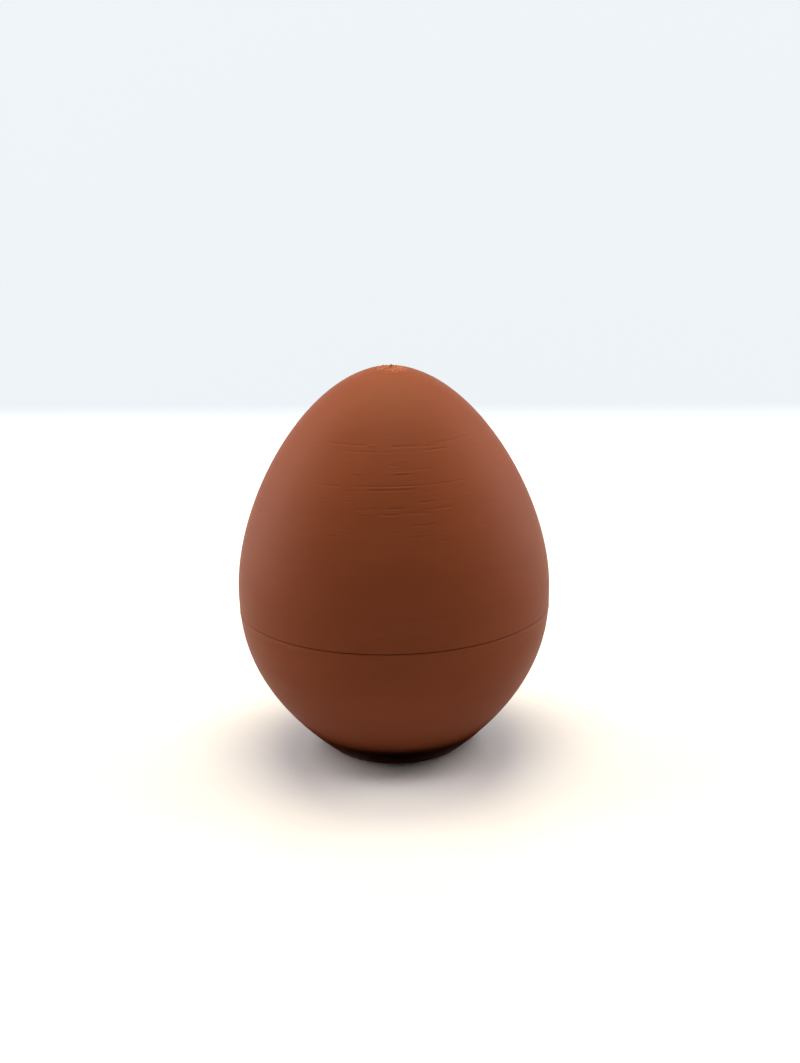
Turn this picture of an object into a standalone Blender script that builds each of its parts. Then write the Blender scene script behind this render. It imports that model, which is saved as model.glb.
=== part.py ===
"""A plastic copy of a chocolate egg, printed in two shut pieces: a deep lid on a shallower cup.

Metres, +Z up. The origin is the centre of the flat base, and the egg is round about Z.
"""

import math

import bmesh
import bpy
from mathutils import Matrix, Vector
from mathutils.geometry import interpolate_bezier

MM = 0.001

# The whole egg
HEIGHT = 72.0 * MM  # from the flat base to the tip, without the end blob
WIDEST_RADIUS = 29.0 * MM
WIDEST_HEIGHT = 30.8 * MM
BASE_RADIUS = 12.9 * MM
UNDERSIDE_ANGLE = math.radians(40.0)  # the underside rises from the base at this slope

# How far each end of the two outline curves runs straight on before it bends,
# as a share of the widest radius or of the curve's own height
TIP_FULLNESS = 0.504
SHOULDER_FULLNESS = 0.413
BELLY_FULLNESS = 0.230
UNDERSIDE_FULLNESS = 0.660

# The joint between cup and lid
JOINT_HEIGHT = 27.4 * MM  # the middle of the gap
JOINT_GAP = 0.3 * MM
CUP_RIM_HEIGHT = JOINT_HEIGHT - JOINT_GAP / 2
LID_EDGE_HEIGHT = JOINT_HEIGHT + JOINT_GAP / 2
CUP_RIM_CHAMFER = 0.30 * MM
LID_EDGE_CHAMFER = 0.12 * MM

# The blob where the print ended, a little off the tip
BLOB_RADIUS = 0.38 * MM
BLOB_HEIGHT = 0.55 * MM  # above the tip
BLOB_OFFSET = 0.40 * MM

# How finely round shapes are cut
SEGMENTS = 72
UPPER_STEPS = 28
LOWER_STEPS = 16
BLOB_SEGMENTS = 12
BLOB_RINGS = 8
WELD = 0.001 * MM
SHARP_ANGLE = math.radians(25.0)

PLASTIC_COLOUR = (0.190, 0.058, 0.026, 1.0)
PLASTIC_ROUGHNESS = 0.42


def clear_scene():
    for obj in list(bpy.data.objects):
        bpy.data.objects.remove(obj, do_unlink=True)


def make_plastic():
    material = bpy.data.materials.new("brown_plastic")
    material.use_nodes = True
    shader = material.node_tree.nodes["Principled BSDF"]
    shader.inputs["Base Color"].default_value = PLASTIC_COLOUR
    shader.inputs["Roughness"].default_value = PLASTIC_ROUGHNESS
    shader.inputs["Metallic"].default_value = 0.0
    return material


def egg_outline():
    """The egg's side view from the tip down to the base's edge, as points (radius, height)."""
    tip = Vector((0.0, HEIGHT))
    widest = Vector((WIDEST_RADIUS, WIDEST_HEIGHT))
    base_edge = Vector((BASE_RADIUS, 0.0))
    upper = interpolate_bezier(
        tip,
        tip + Vector((TIP_FULLNESS * WIDEST_RADIUS, 0.0)),
        widest + Vector((0.0, SHOULDER_FULLNESS * (HEIGHT - WIDEST_HEIGHT))),
        widest,
        UPPER_STEPS,
    )
    underside_slope = Vector((math.cos(UNDERSIDE_ANGLE), math.sin(UNDERSIDE_ANGLE)))
    lower = interpolate_bezier(
        widest,
        widest - Vector((0.0, BELLY_FULLNESS * WIDEST_HEIGHT)),
        base_edge + UNDERSIDE_FULLNESS * WIDEST_HEIGHT * underside_slope,
        base_edge,
        LOWER_STEPS,
    )
    return upper + lower[1:]


def radius_at(outline, height):
    """The outline's radius at a height, between its two nearest points."""
    for above, below in zip(outline, outline[1:]):
        if above.y >= height >= below.y:
            return above.lerp(below, (above.y - height) / (above.y - below.y)).x
    raise ValueError(f"the outline does not reach height {height}")


def lid_profile(outline):
    """The lid's outer side, its chamfered lower edge, and its flat underside to the axis."""
    side_end = LID_EDGE_HEIGHT + LID_EDGE_CHAMFER
    side = [point for point in outline if point.y > side_end]
    side.append(Vector((radius_at(outline, side_end), side_end)))
    edge_radius = radius_at(outline, LID_EDGE_HEIGHT) - LID_EDGE_CHAMFER
    return side + [Vector((edge_radius, LID_EDGE_HEIGHT)), Vector((0.0, LID_EDGE_HEIGHT))]


def cup_profile(outline):
    """The cup's flat top from the axis, its chamfered rim, its outer side, and its flat base."""
    side_start = CUP_RIM_HEIGHT - CUP_RIM_CHAMFER
    rim_radius = radius_at(outline, CUP_RIM_HEIGHT) - CUP_RIM_CHAMFER
    top = [Vector((0.0, CUP_RIM_HEIGHT)), Vector((rim_radius, CUP_RIM_HEIGHT))]
    side = [Vector((radius_at(outline, side_start), side_start))]
    side += [point for point in outline if point.y < side_start]
    return top + side + [Vector((0.0, 0.0))]


def turned(name, profile, origin_height, material):
    """A solid of revolution about Z. Its object's origin is on the axis at origin_height."""
    shape = bmesh.new()
    points = [shape.verts.new((r, 0.0, z - origin_height)) for r, z in profile]
    lines = [shape.edges.new(ends) for ends in zip(points, points[1:])]
    bmesh.ops.spin(
        shape,
        geom=points + lines,
        cent=(0.0, 0.0, 0.0),
        axis=(0.0, 0.0, 1.0),
        angle=2.0 * math.pi,
        steps=SEGMENTS,
        use_merge=True,
    )
    bmesh.ops.remove_doubles(shape, verts=shape.verts, dist=WELD)
    bmesh.ops.recalc_face_normals(shape, faces=shape.faces)
    obj = add_object(name, shape, material)
    obj.location.z = origin_height
    return obj


def add_object(name, shape, material):
    """An object made from a bmesh, shaded smooth except at its real edges."""
    mesh = bpy.data.meshes.new(name)
    shape.to_mesh(mesh)
    shape.free()
    mesh.materials.append(material)
    mesh.shade_smooth()
    mesh.set_sharp_from_angle(angle=SHARP_ANGLE)
    obj = bpy.data.objects.new(name, mesh)
    bpy.context.scene.collection.objects.link(obj)
    return obj


def add_end_blob(lid, material):
    """Joins the print's end blob, a small upright drop, to the lid's tip."""
    shape = bmesh.new()
    bmesh.ops.create_uvsphere(
        shape,
        u_segments=BLOB_SEGMENTS,
        v_segments=BLOB_RINGS,
        radius=BLOB_RADIUS,
        matrix=Matrix.Diagonal((1.0, 1.0, BLOB_HEIGHT / BLOB_RADIUS, 1.0)),
    )
    blob = add_object("end_blob_helper", shape, material)
    blob.parent = lid
    blob.location = (BLOB_OFFSET, 0.0, HEIGHT - LID_EDGE_HEIGHT)
    blob.hide_render = True
    blob.display_type = "WIRE"
    union = lid.modifiers.new("end_blob", "BOOLEAN")
    union.operation = "UNION"
    union.object = blob


def main():
    clear_scene()
    plastic = make_plastic()
    outline = egg_outline()
    turned("egg_cup", cup_profile(outline), 0.0, plastic)
    lid = turned("egg_lid", lid_profile(outline), LID_EDGE_HEIGHT, plastic)
    add_end_blob(lid, plastic)


main()
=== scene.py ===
import math

import bpy
import numpy as np
from mathutils import Matrix, Vector
from mathutils.geometry import interpolate_bezier


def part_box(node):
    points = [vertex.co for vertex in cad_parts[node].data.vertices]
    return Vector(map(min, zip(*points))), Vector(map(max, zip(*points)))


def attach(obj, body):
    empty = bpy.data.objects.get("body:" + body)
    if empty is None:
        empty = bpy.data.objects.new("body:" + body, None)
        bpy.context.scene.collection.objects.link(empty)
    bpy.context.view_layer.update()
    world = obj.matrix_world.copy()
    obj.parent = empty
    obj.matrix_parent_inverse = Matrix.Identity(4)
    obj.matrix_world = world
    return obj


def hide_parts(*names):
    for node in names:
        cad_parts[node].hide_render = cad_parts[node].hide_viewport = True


# The looks of a closed chocolate egg in brown printed plastic: a deep lid on a shallower cup.
# Metres, +Z up, in the frame of the CAD model. Each piece is a skin of real print layers. A bearing
# is the angle round the egg: 0 faces the camera, and it grows towards +X.

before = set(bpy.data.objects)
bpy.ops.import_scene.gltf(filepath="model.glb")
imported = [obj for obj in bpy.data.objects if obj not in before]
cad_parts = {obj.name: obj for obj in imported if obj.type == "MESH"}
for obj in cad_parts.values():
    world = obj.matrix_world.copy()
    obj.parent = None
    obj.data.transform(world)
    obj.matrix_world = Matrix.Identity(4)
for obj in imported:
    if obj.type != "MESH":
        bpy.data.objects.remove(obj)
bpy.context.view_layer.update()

MM = 0.001
SEED = 11

# The egg's outline, as the CAD source has it
LID_LOW, LID_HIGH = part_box("egg_lid")
CUP_LOW, CUP_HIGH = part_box("egg_cup")
HEIGHT = LID_HIGH.z - 0.55 * MM  # the CAD's blob stands this far above the tip
WIDEST_RADIUS = LID_HIGH.x
WIDEST_HEIGHT = 30.8 * MM
BASE_RADIUS = 12.9 * MM
UNDERSIDE_ANGLE = math.radians(40.0)
TIP_FULLNESS = 0.504
SHOULDER_FULLNESS = 0.413
BELLY_FULLNESS = 0.230
UNDERSIDE_FULLNESS = 0.660
OUTLINE_STEPS = 1500  # on each of the two curves

# The joint. The CAD solids need a wider gap than the real pieces have
JOINT_HEIGHT = (CUP_HIGH.z + LID_LOW.z) / 2
JOINT_GAP = 0.12 * MM
RIM_LAYERS = 3  # the cup's rim has its own form over this many layers
EDGE_LAYERS = 1  # and the lid's edge over this many
INSIDE_RADIUS = WIDEST_RADIUS - 1.2 * MM
# How far each stands out from the outline, as (share of the way to the joint, mm)
RIM_FORM = (
    (0.0, 0.0),
    (0.2, 0.035),
    (0.35, 0.060),
    (0.5, 0.045),
    (0.65, 0.005),
    (0.8, -0.035),
    (0.94, -0.075),
    (1.0, -0.10),
)
EDGE_FORM = ((0.0, 0.0), (0.6, -0.005), (0.85, -0.02), (1.0, -0.06))

# The print
LAYER = 0.2 * MM
LAYERS = round(HEIGHT / LAYER)
FRONT_SPAN = 36.0  # degrees each side of the front where the points lie closest
FRONT_SEGMENTS = 72
BACK_SEGMENTS = 124
SEGMENTS = FRONT_SEGMENTS + BACK_SEGMENTS
GROOVE = 0.015 * MM  # depth of the groove between two layers
LAYER_SCATTER = 0.0014 * MM  # how unevenly the layers lie
WANDER = 0.0010 * MM  # how far one layer wanders in and out round the egg
FLAW_DEPTH = 3.2  # how many times deeper the flaws are than the lists below say
FLAW_END = 1.2  # degrees over which a flaw fades out
SPECKS = 150  # tiny flaws all round the lid
SPECK_HEIGHTS = (44.0, 62.0)  # mm

# Two faint rings go nearly all the way round, broken here and there, as
# (height in mm, first bearing, last bearing, how far it stands out in mm)
RING_FLAWS = (
    (61.3, -38, -14, -0.016),
    (61.3, -13, -8, 0.014),
    (61.1, 0, 17, -0.016),
    (61.3, 24, 58, -0.014),
    (60.9, 18, 30, -0.010),
    (60.3, 19, 31, -0.016),
    (60.3, -29, 0, -0.008),
    (61.3, 95, 170, -0.014),
    (60.9, 150, 240, -0.012),
    (61.3, 255, 285, -0.014),
    (54.9, -37, -24, -0.010),
    (55.1, -16, 17, -0.013),
    (54.9, -11, 10, 0.014),
    (54.5, -11, 1, -0.017),
    (54.5, 2, 10, -0.012),
    (55.1, 17, 35, -0.010),
    (55.1, 60, 130, -0.014),
    (54.9, 120, 205, -0.012),
    (54.7, 180, 215, 0.014),
    (55.1, 230, 310, -0.015),
)

# Short flaws on the side that faces the camera, in the same terms
FRONT_FLAWS = (
    (58.3, -1, 3, -0.016),
    (57.1, -18, -15, 0.018),
    (57.1, 1, 9, 0.018),
    (56.9, 1, 9, -0.012),
    (57.5, 9, 21, -0.011),
    (54.3, -20, -16, -0.012),
    (53.1, -32, -28, 0.014),
    (52.7, -21, -18, -0.018),
    (52.5, 12, 18, -0.018),
    (51.5, -15, -13, -0.018),
    (51.7, -9, -6, -0.018),
    (51.7, -2, 5, -0.024),
    (51.3, 13, 26, -0.013),
    (50.9, -14, -9, 0.014),
    (50.7, -4, 2, -0.022),
    (50.5, -4, 2, 0.014),
    (50.9, 6, 13, -0.018),
    (50.7, 15, 17, -0.016),
    (48.9, 8, 17, -0.020),
    (48.3, -20, -17, -0.016),
    (47.9, -1, 2, -0.018),
    (47.7, 7, 15, -0.013),
    (47.5, 19, 23, -0.014),
    (47.1, 7, 10, -0.013),
    (47.1, -28, -22, -0.009),
    (46.1, 19, 22, -0.014),
    (44.9, 16, 18, -0.016),
    (37.5, -14, -12, -0.012),
    (37.5, 0, 2, -0.012),
    (37.3, 10, 13, -0.012),
    (36.3, 14, 16, -0.010),
    (36.3, 24, 27, -0.010),
    (36.1, -5, 2, -0.012),
    (33.9, -14, -3, -0.008),
    (31.9, -9, 3, -0.008),
)

# The rest of the egg has flaws like them at random: how many, from what height to what height (mm)
RANDOM_FLAWS = ((90, 44.0, 62.0), (26, 30.0, 38.0), (16, 4.0, 24.0), (12, 62.0, 70.0))
FRONT_HALF_WIDTH = 50.0  # degrees each side of the front that the random flaws leave alone

# The tip: the last layers, their zigzag top skin and the blob
TIP_LAYERS = 5
TIP_STAIRS = 0.50  # 0 is a smooth slope and 1 is full stairs
RISER_WIDTH = 0.30 * MM  # a step between two of the last layers slopes over this width
SKIN_RADIUS = 2.9 * MM
SKIN_BEAD = 0.62 * MM  # distance between two printed lines of the top skin
SKIN_RISE = 0.09 * MM
SKIN_SWING = 0.22 * MM  # how far each line swings to one side and the other
SKIN_SWING_LENGTH = 1.5 * MM
CRUMBS = 30  # small specks where the nozzle turned
CRUMB_ZONE = (1.0 * MM, 4.2 * MM)
CRUMB_RISE = 0.11 * MM
CRUMB_RADIUS = 0.26 * MM
BLOB_RISE = 0.36 * MM
BLOB_RADIUS = 0.46 * MM
BLOB_OFFSET = 0.40 * MM
FINE_RING = 0.05 * MM  # between rings of points on and near the blob
TIP_RING = 0.14 * MM
FINE_ZONE = 0.9 * MM

# The flat base
BASE_BEADS = 4  # printed lines round the base's edge
BEAD = 0.42 * MM  # distance between two of them


def make_outline():
    """The egg's side view as two arrays, heights rising from the base to the tip and their radii."""
    tip = Vector((0.0, HEIGHT))
    widest = Vector((WIDEST_RADIUS, WIDEST_HEIGHT))
    base_edge = Vector((BASE_RADIUS, 0.0))
    upper = interpolate_bezier(
        tip,
        tip + Vector((TIP_FULLNESS * WIDEST_RADIUS, 0.0)),
        widest + Vector((0.0, SHOULDER_FULLNESS * (HEIGHT - WIDEST_HEIGHT))),
        widest,
        OUTLINE_STEPS,
    )
    slope = Vector((math.cos(UNDERSIDE_ANGLE), math.sin(UNDERSIDE_ANGLE)))
    lower = interpolate_bezier(
        widest,
        widest - Vector((0.0, BELLY_FULLNESS * WIDEST_HEIGHT)),
        base_edge + UNDERSIDE_FULLNESS * WIDEST_HEIGHT * slope,
        base_edge,
        OUTLINE_STEPS,
    )
    points = np.array([tuple(point) for point in (upper + lower[1:])[::-1]])
    return points[:, 1], points[:, 0]


OUTLINE_HEIGHTS, OUTLINE_RADII = make_outline()


def make_bearings():
    """The bearings of a ring's points in radians, from the back round the front to the back again."""
    span = math.radians(FRONT_SPAN)
    half = BACK_SEGMENTS // 2
    left = np.linspace(-math.pi, -span, half, endpoint=False)
    front = np.linspace(-span, span, FRONT_SEGMENTS, endpoint=False)
    right = np.linspace(span, math.pi, half, endpoint=False)
    return np.concatenate([left, front, right])


BEARINGS = make_bearings()


def radius_at(height):
    return float(np.interp(height, OUTLINE_HEIGHTS, OUTLINE_RADII))


def height_at(radius):
    """The height of the outline above its widest place, where it has this radius."""
    upper = OUTLINE_HEIGHTS >= WIDEST_HEIGHT
    return float(np.interp(radius, OUTLINE_RADII[upper][::-1], OUTLINE_HEIGHTS[upper][::-1]))


def layer_radius(layer):
    """The radius a slicer gives a layer: the outline's at the middle of its height."""
    return radius_at((layer + 0.5) * LAYER)


# ---------------------------------------------------------------- relief


def press_flaw(relief, height_mm, first, last, rise_mm):
    """Moves part of one layer in or out, between two bearings in degrees."""
    middle, half = (first + last) / 2, (last - first) / 2
    away = np.abs((np.degrees(BEARINGS) - middle + 180) % 360 - 180)
    share = np.clip((half - away) / FLAW_END + 0.5, 0, 1)
    relief[int(height_mm * MM / LAYER)] += share * rise_mm * MM * FLAW_DEPTH


def random_flaws(rng):
    for _ in range(SPECKS):
        middle, half = rng.uniform(0, 360), rng.uniform(0.5, 1.5)
        rise = rng.choice((-1, 1)) * rng.uniform(0.005, 0.012)
        yield rng.uniform(*SPECK_HEIGHTS), middle - half, middle + half, rise
    for count, low, high in RANDOM_FLAWS:
        for _ in range(count):
            middle = rng.uniform(FRONT_HALF_WIDTH, 360 - FRONT_HALF_WIDTH)
            half = rng.uniform(1.0, 5.0)
            rise = rng.choice((-1, -1, 1)) * rng.uniform(0.006, 0.014)
            yield rng.uniform(low, high), middle - half, middle + half, rise


def make_relief():
    """How far each layer stands out from the outline at each bearing, as a LAYERS by SEGMENTS array."""
    rng = np.random.default_rng(SEED)
    relief = rng.normal(0, LAYER_SCATTER, (LAYERS, 1)) * np.ones(SEGMENTS)
    for lobes in (1, 2, 3, 5, 8):
        size = rng.normal(0, WANDER, (LAYERS, 1))
        phase = rng.uniform(0, 2 * math.pi, (LAYERS, 1))
        relief += size * np.cos(lobes * BEARINGS + phase)
    for flaw in (*RING_FLAWS, *FRONT_FLAWS, *random_flaws(rng)):
        press_flaw(relief, *flaw)
    return relief


RELIEF = make_relief()

# ---------------------------------------------------------------- rings of points
# A ring is (radii, heights), each a number or an array with one value for each bearing.


def wall_rings(layers):
    """The printed wall from its top layer down: on each layer a crest, and the groove under it."""
    rings = []
    for layer in layers:
        floor = layer * LAYER
        crest = floor + LAYER / 2
        rings.append((radius_at(crest) + RELIEF[layer], crest))
        if layer > layers[-1]:
            rings.append((radius_at(floor) - GROOVE + (RELIEF[layer] + RELIEF[layer - 1]) / 2, floor))
    return rings


def smooth_step(value):
    value = np.clip(value, 0, 1)
    return value * value * (3 - 2 * value)


def tip_height(radius, crumbs):
    """The height of the last layers at one radius, for every bearing."""
    x, y = radius * np.sin(BEARINGS), -radius * np.cos(BEARINGS)
    first = LAYERS - TIP_LAYERS
    stairs = np.full(SEGMENTS, first * LAYER)
    for layer in range(first, LAYERS):
        edge = layer_radius(layer) + 0.04 * MM * np.cos(3 * BEARINGS + layer)
        stairs += LAYER * smooth_step((edge - radius) / RISER_WIDTH + 0.5)
    height = (1 - TIP_STAIRS) * height_at(radius) + TIP_STAIRS * stairs
    swing = SKIN_SWING * np.sin(2 * math.pi * y / SKIN_SWING_LENGTH)
    lines = np.abs(np.cos(math.pi * (x + swing) / SKIN_BEAD))
    on_skin = smooth_step((SKIN_RADIUS - radius) / SKIN_BEAD + 0.5)
    height += on_skin * SKIN_RISE * (lines - 0.5)
    for crumb_x, crumb_y, rise in crumbs:
        away = np.hypot(x - crumb_x, y - crumb_y) / CRUMB_RADIUS
        height += rise * smooth_step(1 - away)
    away = np.hypot(x - BLOB_OFFSET, y) / BLOB_RADIUS
    return height + BLOB_RISE * smooth_step(1.15 * (1 - away))


def tip_rings():
    """The top of the egg, from the axis out to the first ordinary layer."""
    rng = np.random.default_rng(SEED + 1)
    crumbs = []
    for _ in range(CRUMBS):
        radius, bearing = rng.uniform(*CRUMB_ZONE), rng.uniform(0, 2 * math.pi)
        rise = CRUMB_RISE * rng.uniform(-0.6, 1.0)
        crumbs.append((radius * math.sin(bearing), -radius * math.cos(bearing), rise))
    outer = radius_at((LAYERS - TIP_LAYERS) * LAYER)
    fine = np.arange(FINE_RING, FINE_ZONE, FINE_RING)
    coarse = np.linspace(FINE_ZONE, outer, round((outer - FINE_ZONE) / TIP_RING))
    return [(radius, tip_height(radius, crumbs)) for radius in (*fine, *coarse)]


def edge_rings(ring, edge, form):
    """From a ring of the wall to the edge at the joint."""
    radii, start = ring
    rings = []
    for share, rise_mm in form[1:]:
        height = start + share * (edge - start)
        rings.append((radii + radius_at(height) - radius_at(start) + rise_mm * MM, height))
    return rings


def lid_rings():
    edge = JOINT_HEIGHT + JOINT_GAP / 2
    first = round(JOINT_HEIGHT / LAYER) + EDGE_LAYERS
    wall = wall_rings(range(LAYERS - TIP_LAYERS - 1, first - 1, -1))
    inside = [(INSIDE_RADIUS, edge), (WIDEST_RADIUS / 2, edge)]
    return tip_rings() + wall + edge_rings(wall[-1], edge, EDGE_FORM) + inside


def cup_rings():
    rim = JOINT_HEIGHT - JOINT_GAP / 2
    first = round(JOINT_HEIGHT / LAYER) - 1 - RIM_LAYERS
    wall = wall_rings(range(first, -1, -1))
    inside = [(WIDEST_RADIUS / 2, rim), (INSIDE_RADIUS, rim)]
    base = [(BASE_RADIUS - 0.02 * MM, 0.02 * MM), (BASE_RADIUS - 0.08 * MM, 0.0)]
    for bead in range(1, BASE_BEADS + 1):
        radius = BASE_RADIUS - bead * BEAD
        base += [(radius + 0.06 * MM, 0.0), (radius, 0.03 * MM), (radius - 0.06 * MM, 0.0)]
    base.append((BASE_RADIUS / 2, 0.0))
    return inside + edge_rings(wall[0], rim, RIM_FORM)[::-1] + wall + base


def skin(name, rings, top, bottom):
    """A closed mesh through the rings, from its top point to its bottom point, both on the axis."""
    points = np.empty((len(rings), SEGMENTS, 3))
    for ring, (radii, heights) in enumerate(rings):
        points[ring, :, 0] = radii * np.sin(BEARINGS)
        points[ring, :, 1] = -radii * np.cos(BEARINGS)
        points[ring, :, 2] = heights
    verts = [(0.0, 0.0, top), *points.reshape(-1, 3).tolist(), (0.0, 0.0, bottom)]
    here = list(range(SEGMENTS))
    after = here[1:] + here[:1]
    faces = [(0, 1 + a, 1 + b) for a, b in zip(here, after)]
    for ring in range(len(rings) - 1):
        upper, lower = 1 + ring * SEGMENTS, 1 + (ring + 1) * SEGMENTS
        faces += [(upper + a, lower + a, lower + b, upper + b) for a, b in zip(here, after)]
    last = 1 + (len(rings) - 1) * SEGMENTS
    faces += [(len(verts) - 1, last + b, last + a) for a, b in zip(here, after)]
    mesh = bpy.data.meshes.new(name)
    mesh.from_pydata(verts, [], faces)
    mesh.shade_smooth()
    unroll(mesh, points, top, bottom)
    piece = bpy.data.objects.new(name, mesh)
    bpy.context.scene.collection.objects.link(piece)
    return piece


def unroll(mesh, points, top, bottom):
    """A UV map for baking: the bearing runs across it, and the way down the skin runs up it."""
    side = points[:, 0]
    side = np.vstack([(0.0, 0.0, top), side, (0.0, 0.0, bottom)])
    way = np.concatenate([[0.0], np.cumsum(np.linalg.norm(np.diff(side, axis=0), axis=1))])
    way /= way[-1]
    corners = np.empty(len(mesh.loops), dtype=np.int32)
    mesh.loops.foreach_get("vertex_index", corners)
    ring = (corners - 1) // SEGMENTS + 1
    across = ((corners - 1) % SEGMENTS).astype(float)
    counts = np.empty(len(mesh.polygons), dtype=np.int32)
    mesh.polygons.foreach_get("loop_total", counts)
    face = np.repeat(np.arange(len(counts)), counts)
    column = np.tile(np.arange(SEGMENTS), len(counts) // SEGMENTS)[face]
    across[(column == SEGMENTS - 1) & (across == 0)] = SEGMENTS
    on_axis = (corners == 0) | (corners == len(mesh.vertices) - 1)
    across[on_axis] = column[on_axis] + 0.5
    turns = np.append(BEARINGS, math.pi) / (2 * math.pi) + 0.5
    across = np.interp(across, np.arange(SEGMENTS + 1), turns)
    places = np.stack([across, 1 - way[ring]], axis=1)
    mesh.uv_layers.new(name="OFBake").uv.foreach_set("vector", places.astype(np.float32).ravel())


# ---------------------------------------------------------------- materials


DARK_BROWN = (0.145, 0.0345, 0.0122, 1)
LIGHT_BROWN = (0.169, 0.0408, 0.0149, 1)
SHEEN_SPECKLE_BROWN = (0.36, 0.110, 0.045, 1)  # thin-drawn bits of the tip's skin, with painted sheen: drawn lighter for the light they catch
SHEEN_SPECKLE_PLACE = (0.4 * MM, -0.6 * MM, 72.0 * MM)
SHEEN_SPECKLE_REACH = 1.8 * MM
SHEEN_SPECKLE_END = 3.4 * MM


class Nodes:
    """A short way to add nodes to a material and link them."""

    def __init__(self, name):
        self.material = bpy.data.materials.new(name)
        self.material.use_nodes = True
        self.tree = self.material.node_tree
        self.shader = self.tree.nodes["Principled BSDF"]

    def add(self, kind, inputs=None, **settings):
        node = self.tree.nodes.new(kind)
        for key, value in settings.items():
            setattr(node, key, value)
        for key, value in (inputs or {}).items():
            if isinstance(value, bpy.types.NodeSocket):
                self.tree.links.new(value, node.inputs[key])
            else:
                node.inputs[key].default_value = value
        return node

    def maths(self, operation, *values):
        return self.add("ShaderNodeMath", dict(enumerate(values)), operation=operation).outputs[0]

    def noise(self, place, across, up, detail=2.0):
        """Noise from 0 to 1 whose patches are this wide across and this tall up, in metres."""
        scale = (1 / across, 1 / across, 1 / up)
        spread = self.add("ShaderNodeMapping", {"Vector": place, "Scale": scale}).outputs[0]
        node = self.add("ShaderNodeTexNoise", {"Vector": spread, "Scale": 1.0, "Detail": detail})
        return node.outputs["Fac"]

    def spread(self, value, low, high):
        """Takes 0.3 to 0.7, where noise mostly lies, to low and high."""
        inputs = {"Value": value, "From Min": 0.3, "From Max": 0.7, "To Min": low, "To Max": high}
        return self.add("ShaderNodeMapRange", inputs).outputs["Result"]

    def ramp(self, value, start, end, low, high):
        """Goes smoothly from low to high as the value goes from start to end."""
        inputs = {"Value": value, "From Min": start, "From Max": end, "To Min": low, "To Max": high}
        node = self.add("ShaderNodeMapRange", inputs, interpolation_type="SMOOTHSTEP")
        return node.outputs["Result"]

    def mix(self, share, first, second):
        """A mix of two colours, each a value or another node's output."""
        node = self.add("ShaderNodeMix", {"Factor": share}, data_type="RGBA")
        # The colour sockets come after the plain numbers and vectors of the same names
        for socket, colour in zip(node.inputs[6:8], (first, second)):
            if isinstance(colour, bpy.types.NodeSocket):
                self.tree.links.new(colour, socket)
            else:
                socket.default_value = colour
        return node.outputs[2]

    def shade(self, target, output):
        """Links an output to one of the shader's sockets."""
        self.tree.links.new(output, self.shader.inputs[target])


def make_plastic():
    """Satin brown plastic, drawn out in fine streaks along the print layers."""
    nodes = Nodes("brown_plastic")
    place = nodes.add("ShaderNodeTexCoord").outputs["Object"]
    streaks = nodes.noise(place, 12 * MM, 0.3 * MM)
    bands = nodes.noise(place, 70 * MM, 3.0 * MM)
    clouds = nodes.noise(place, 14 * MM, 10 * MM)
    grain = nodes.noise(place, 0.16 * MM, 0.16 * MM, 3.0)

    tone = nodes.maths("ADD", nodes.spread(streaks, -0.12, 0.12), nodes.spread(bands, -0.12, 0.12))
    tone = nodes.maths("ADD", tone, nodes.spread(clouds, -0.20, 0.20))
    tone = nodes.maths("ADD", tone, nodes.spread(grain, 0.42, 0.58))
    brown = nodes.mix(tone, DARK_BROWN, LIGHT_BROWN)
    # Painted sheen near the tip: speckles of lighter brown stand in for light caught by the thin-drawn
    # skin lines
    from_tip = nodes.add("ShaderNodeVectorMath", {0: place, 1: SHEEN_SPECKLE_PLACE}, operation="DISTANCE")
    near_tip = nodes.ramp(from_tip.outputs["Value"], SHEEN_SPECKLE_REACH, SHEEN_SPECKLE_END, 1, 0)
    sheen_speckles = nodes.ramp(nodes.noise(place, 0.42 * MM, 0.42 * MM), 0.50, 0.60, 0, 1)
    sheen_speckles = nodes.maths("MULTIPLY", near_tip, sheen_speckles)
    nodes.shade("Base Color", nodes.mix(sheen_speckles, brown, SHEEN_SPECKLE_BROWN))

    rough = nodes.maths("ADD", nodes.spread(streaks, 0.46, 0.54), nodes.spread(grain, -0.03, 0.03))
    nodes.shade("Roughness", rough)

    lift = nodes.maths("ADD", nodes.spread(streaks, 0.0, 0.4), nodes.spread(grain, 0.0, 0.6))
    bump = nodes.add("ShaderNodeBump", {"Height": lift, "Strength": 0.4, "Distance": 0.008 * MM})
    nodes.shade("Normal", bump.outputs["Normal"])
    nodes.shader.inputs["IOR"].default_value = 1.40
    nodes.shader.inputs["Specular IOR Level"].default_value = 0.08
    return nodes.material


# ---------------------------------------------------------------- stage, lights and camera

FLOOR_REACH = 0.9
FLOOR_GLOW = 0.75  # the floor's far parts glow, out of the lamps' reach
FLOOR_GLOW_START = 0.24
FLOOR_GLOW_END = 0.45
PAINTED_LIGHT_FLOOR = (0.95, 0.865, 0.810, 1)  # painted pool of light with a painted warm bounce from the egg, on the floor just in front of it
FAR_FLOOR = (0.595, 0.550, 0.552, 1)
PAINTED_LIGHT_PLACE = (0.0, -0.013, 0.0)
PAINTED_LIGHT_REACH = 0.004
PAINTED_LIGHT_END = 0.022
WALL_DISTANCE = 0.285
WALL_TURN = math.radians(-5.5)
WALL_HEIGHT = 0.7
WALL_GLOW = (0.815, 0.865, 0.895, 1)  # the wall is lit from behind
FOOT_GLOW = 1.22  # how many times brighter the wall is at its foot
FOOT_HEIGHT = 0.008
SHADE_COLLAR_LOW = (14.6 * MM, 0.1 * MM)  # radius and height of the lower edge of the dark collar that paints shade on the underside
SHADE_COLLAR_HIGH = (20.0 * MM, 3.9 * MM)
BAND_SEGMENTS = 64


def add_sheet(name, corners, material):
    """One flat stage piece with four corners."""
    mesh = bpy.data.meshes.new(name)
    mesh.from_pydata(corners, [], [(0, 1, 2, 3)])
    mesh.materials.append(material)
    sheet = bpy.data.objects.new(name, mesh)
    bpy.context.scene.collection.objects.link(sheet)
    return sheet


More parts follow.
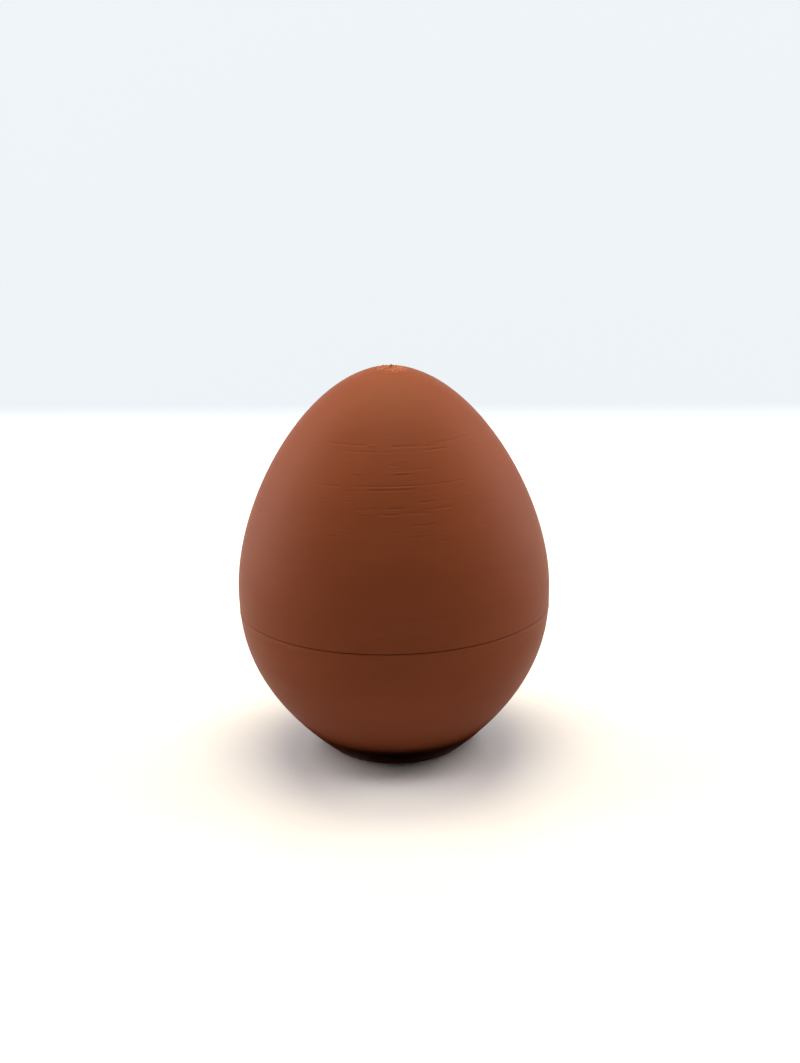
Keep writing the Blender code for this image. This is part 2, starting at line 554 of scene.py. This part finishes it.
def make_band(name, low, high, material):
    """A stage piece round the egg that faces inward, between two circles of a radius and a height."""
    verts = []
    for radius, height in (low, high):
        for turn in np.arange(BAND_SEGMENTS) * (2 * math.pi / BAND_SEGMENTS):
            verts.append((radius * math.cos(turn), radius * math.sin(turn), height))
    count = BAND_SEGMENTS
    faces = [(count + a, count + (a + 1) % count, (a + 1) % count, a) for a in range(count)]
    mesh = bpy.data.meshes.new(name)
    mesh.from_pydata(verts, [], faces)
    mesh.materials.append(material)
    band = bpy.data.objects.new(name, mesh)
    bpy.context.scene.collection.objects.link(band)
    return band


def add_floor():
    nodes = Nodes("floor")
    place = nodes.add("ShaderNodeTexCoord").outputs["Object"]
    away = nodes.add("ShaderNodeVectorMath", {"Vector": place}, operation="LENGTH").outputs["Value"]
    # Painted light: the floor is paler and warmer just in front of the egg, and fades to its own colour
    # further out
    front = nodes.add("ShaderNodeVectorMath", {0: place, 1: PAINTED_LIGHT_PLACE}, operation="DISTANCE")
    past_painted_light = nodes.ramp(front.outputs["Value"], PAINTED_LIGHT_REACH, PAINTED_LIGHT_END, 0, 1)
    nodes.shade("Base Color", nodes.mix(past_painted_light, PAINTED_LIGHT_FLOOR, FAR_FLOOR))
    nodes.shader.inputs["Roughness"].default_value = 0.38
    nodes.shader.inputs["Emission Color"].default_value = (1, 1, 1, 1)
    glow = nodes.ramp(away, FLOOR_GLOW_START, FLOOR_GLOW_END, 0, FLOOR_GLOW)
    nodes.shade("Emission Strength", glow)
    reach = FLOOR_REACH
    corners = [(-reach, -reach, 0), (reach, -reach, 0), (reach, reach, 0), (-reach, reach, 0)]
    add_sheet("floor", corners, nodes.material)


def add_wall():
    """The lit back of the light box, brightest where it meets the floor."""
    nodes = Nodes("wall")
    nodes.shader.inputs["Base Color"].default_value = (0.02, 0.02, 0.02, 1)
    nodes.shader.inputs["Specular IOR Level"].default_value = 0.0
    nodes.shader.inputs["Emission Color"].default_value = WALL_GLOW
    place = nodes.add("ShaderNodeTexCoord").outputs["Object"]
    height = nodes.add("ShaderNodeSeparateXYZ", {"Vector": place}).outputs["Z"]
    glow = nodes.ramp(height, 0, FOOT_HEIGHT, FOOT_GLOW, 1)
    nodes.shade("Emission Strength", glow)
    reach = FLOOR_REACH
    corners = [(-reach, 0, 0), (reach, 0, 0), (reach, 0, WALL_HEIGHT), (-reach, 0, WALL_HEIGHT)]
    wall = add_sheet("wall", corners, nodes.material)
    wall.location.y = WALL_DISTANCE
    wall.rotation_euler.z = WALL_TURN


def add_backdrop():
    """A pale round backdrop for the other sides. Only the camera sees it, so it lights nothing."""
    nodes = Nodes("backdrop")
    nodes.shader.inputs["Base Color"].default_value = (0, 0, 0, 1)
    nodes.shader.inputs["Specular IOR Level"].default_value = 0.0
    nodes.shader.inputs["Emission Color"].default_value = WALL_GLOW
    nodes.shader.inputs["Emission Strength"].default_value = 1.0
    ring = make_band("backdrop", (FLOOR_REACH, 0.0), (FLOOR_REACH, FLOOR_REACH), nodes.material)
    ring.visible_diffuse = False
    ring.visible_glossy = False
    ring.visible_shadow = False


def add_shade_collar():
    """Painted shade: a dark collar round the foot that turns the underside near the floor dark. Only
    light on its way from the floor to the underside meets it.
    """
    nodes = Nodes("shade_collar")
    nodes.shader.inputs["Base Color"].default_value = (0, 0, 0, 1)
    nodes.shader.inputs["Specular IOR Level"].default_value = 0.0
    outside = nodes.add("ShaderNodeNewGeometry").outputs["Backfacing"]
    nodes.shade("Alpha", nodes.maths("SUBTRACT", 1.0, outside))
    shade_collar = make_band("shade_collar", SHADE_COLLAR_LOW, SHADE_COLLAR_HIGH, nodes.material)
    shade_collar.visible_camera = False
    shade_collar.visible_shadow = False


def add_lamp(name, size, place, aim, power, colour):
    data = bpy.data.lights.new(name, "AREA")
    data.shape = "RECTANGLE"
    data.size, data.size_y = size
    data.energy = power
    data.color = colour
    lamp = bpy.data.objects.new(name, data)
    lamp.location = place
    lamp.rotation_euler = (Vector(aim) - Vector(place)).to_track_quat("-Z", "Y").to_euler()
    lamp.visible_camera = False
    bpy.context.scene.collection.objects.link(lamp)
    return lamp


WARM = (1.0, 0.92, 0.63)
CREAM = (1.0, 0.98, 0.93)
WHITE = (0.98, 1.0, 1.0)
COOL = (0.91, 1.0, 1.08)
# The lamps of a small light box, as (name, size, place, aim, power, colour). Its front is dark
LAMPS = (
    ("top_lamp", (0.36, 0.20), (0.0, 0.0, 0.56), (0.0, 0.0, 0.0), 1.80, WARM),
    ("top_back_lamp", (0.50, 0.16), (0.0, 0.19, 0.56), (0.0, 0.19, 0.0), 2.65, WARM),
    ("top_front_lamp", (0.50, 0.16), (0.0, -0.19, 0.56), (0.0, -0.19, 0.0), 1.32, COOL),
    ("left_high_lamp", (0.30, 0.26), (-0.31, 0.10, 0.42), (0.0, 0.10, 0.42), 1.28, CREAM),
    ("left_low_lamp", (0.30, 0.26), (-0.31, 0.09, 0.14), (0.0, 0.09, 0.14), 0.96, WHITE),
    ("right_high_lamp", (0.36, 0.26), (0.31, 0.07, 0.42), (0.0, 0.07, 0.42), 1.45, CREAM),
    ("right_low_lamp", (0.30, 0.26), (0.31, 0.10, 0.14), (0.0, 0.10, 0.14), 0.77, WHITE),
)
HORIZON_GLOW = (0.40, 0.41, 0.42, 1)
ROOM_GLOW = (0.02, 0.02, 0.02, 1)
ROOM_START = 0.06  # sine of the elevation where the horizon's glow starts to fade
ROOM_END = 0.30


def add_lights():
    for lamp in LAMPS:
        add_lamp(*lamp)
    world = bpy.data.worlds.new("room")
    world.use_nodes = True
    tree = world.node_tree
    direction = tree.nodes.new("ShaderNodeTexCoord").outputs["Generated"]
    split = tree.nodes.new("ShaderNodeSeparateXYZ")
    fade = tree.nodes.new("ShaderNodeMapRange")
    fade.interpolation_type = "SMOOTHSTEP"
    fade.inputs["From Min"].default_value = ROOM_START
    fade.inputs["From Max"].default_value = ROOM_END
    glow = tree.nodes.new("ShaderNodeMix")
    glow.data_type = "RGBA"
    glow.inputs[6].default_value = HORIZON_GLOW
    glow.inputs[7].default_value = ROOM_GLOW
    tree.links.new(direction, split.inputs[0])
    tree.links.new(split.outputs["Z"], fade.inputs["Value"])
    tree.links.new(fade.outputs["Result"], glow.inputs["Factor"])
    tree.links.new(glow.outputs[2], tree.nodes["Background"].inputs["Color"])
    bpy.context.scene.world = world


CAMERA_DISTANCE = 0.28564
CAMERA_HEIGHT = 0.12318
CAMERA_PITCH = math.radians(16.06)  # down
CAMERA_TURN = math.radians(0.27)  # to the right
CAMERA_ROLL = math.radians(-1.304)
CAMERA_LENS = 54.19


def add_camera():
    data = bpy.data.cameras.new("camera")
    data.lens = CAMERA_LENS
    data.clip_start = 0.01
    camera = bpy.data.objects.new("camera", data)
    level = Matrix.Rotation(-CAMERA_TURN, 4, "Z") @ Matrix.Rotation(math.pi / 2 - CAMERA_PITCH, 4, "X")
    camera.matrix_world = (
        Matrix.Translation((0.0, -CAMERA_DISTANCE, CAMERA_HEIGHT))
        @ level
        @ Matrix.Rotation(CAMERA_ROLL, 4, "Z")
    )
    bpy.context.scene.collection.objects.link(camera)
    bpy.context.scene.camera = camera


# ---------------------------------------------------------------- the scene


def add_piece(name, rings, top, bottom, node, material):
    piece = skin(name, rings, top, bottom)
    piece.data.materials.append(material)
    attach(piece, "root")
    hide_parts(node)


plastic = make_plastic()
add_piece("printed_lid", lid_rings(), HEIGHT, JOINT_HEIGHT + JOINT_GAP / 2, "egg_lid", plastic)
add_piece("printed_cup", cup_rings(), JOINT_HEIGHT - JOINT_GAP / 2, 0.0, "egg_cup", plastic)
add_floor()
add_wall()
add_backdrop()
add_shade_collar()
add_lights()
add_camera()
bpy.context.scene.view_settings.view_transform = "Standard"
